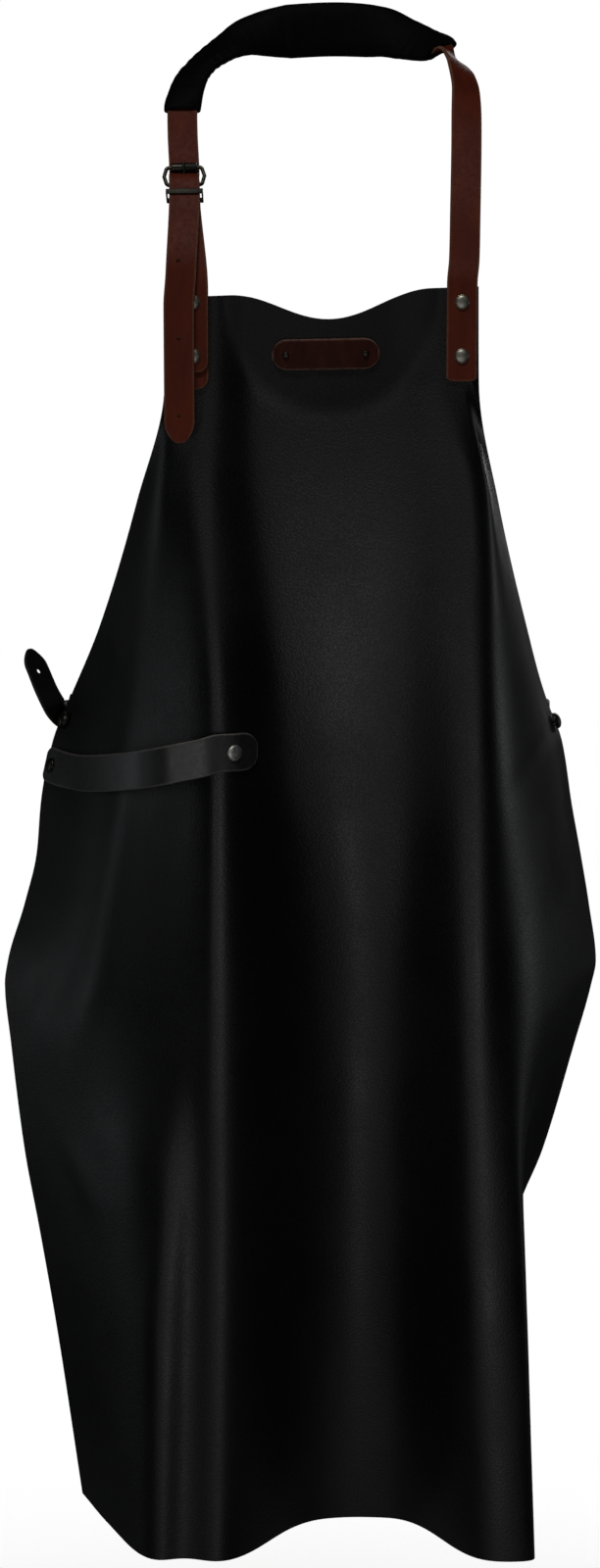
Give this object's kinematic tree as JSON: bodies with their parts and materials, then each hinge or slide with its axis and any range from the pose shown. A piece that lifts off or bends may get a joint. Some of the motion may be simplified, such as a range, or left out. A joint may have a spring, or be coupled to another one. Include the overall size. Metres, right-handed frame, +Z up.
{
  "type": "leather work apron",
  "caption": "Long black leather work apron hung in its worn folds, with a brown buckled neck loop, a neck pad, a towel strap and a waist strap.",
  "frame": {"origin": "middle of the lower edge of the neck loop's pad, where it rests on the back of the neck", "axes": "+Z up along the hung apron, -Y out of its front, +X to the right of someone looking at the front"},
  "size_m": [0.4324, 0.312, 1.0759],
  "materials": {
    "body_leather": "grained, satin sheen",
    "pad_leather": "soft, satin sheen",
    "brown_strap_leather": "smooth, waxed",
    "patch_leather": "smooth, plain",
    "black_strap_leather": "smooth, glossy",
    "rivet_metal": "dull silver",
    "small_rivet_metal": "dark",
    "buckle_metal": "dark, aged"
  },
  "bodies": {
    "root": {"apron_body": "body_leather", "neck_pad": "pad_leather", "neck_strap": "brown_strap_leather", "neck_buckle_strap": "brown_strap_leather", "bib_patch": "patch_leather", "towel_strap": "black_strap_leather", "waist_strap": "black_strap_leather", "waist_buckle_strap": "black_strap_leather", "neck_rivet_right_upper": "rivet_metal", "neck_rivet_right_lower": "rivet_metal", "neck_rivet_left_upper": "rivet_metal", "neck_rivet_left_lower": "rivet_metal", "towel_rivet_front": "rivet_metal", "towel_rivet_side": "rivet_metal", "waist_rivet_left": "rivet_metal", "waist_rivet_right": "rivet_metal", "patch_rivet_left": "small_rivet_metal", "patch_rivet_right": "small_rivet_metal", "neck_buckle_frame": "buckle_metal", "neck_buckle_roller": "buckle_metal", "neck_buckle_prong": "buckle_metal", "neck_keeper": "buckle_metal", "waist_buckle_frame": "buckle_metal", "waist_buckle_prong": "buckle_metal"}
  },
  "joints": []
}
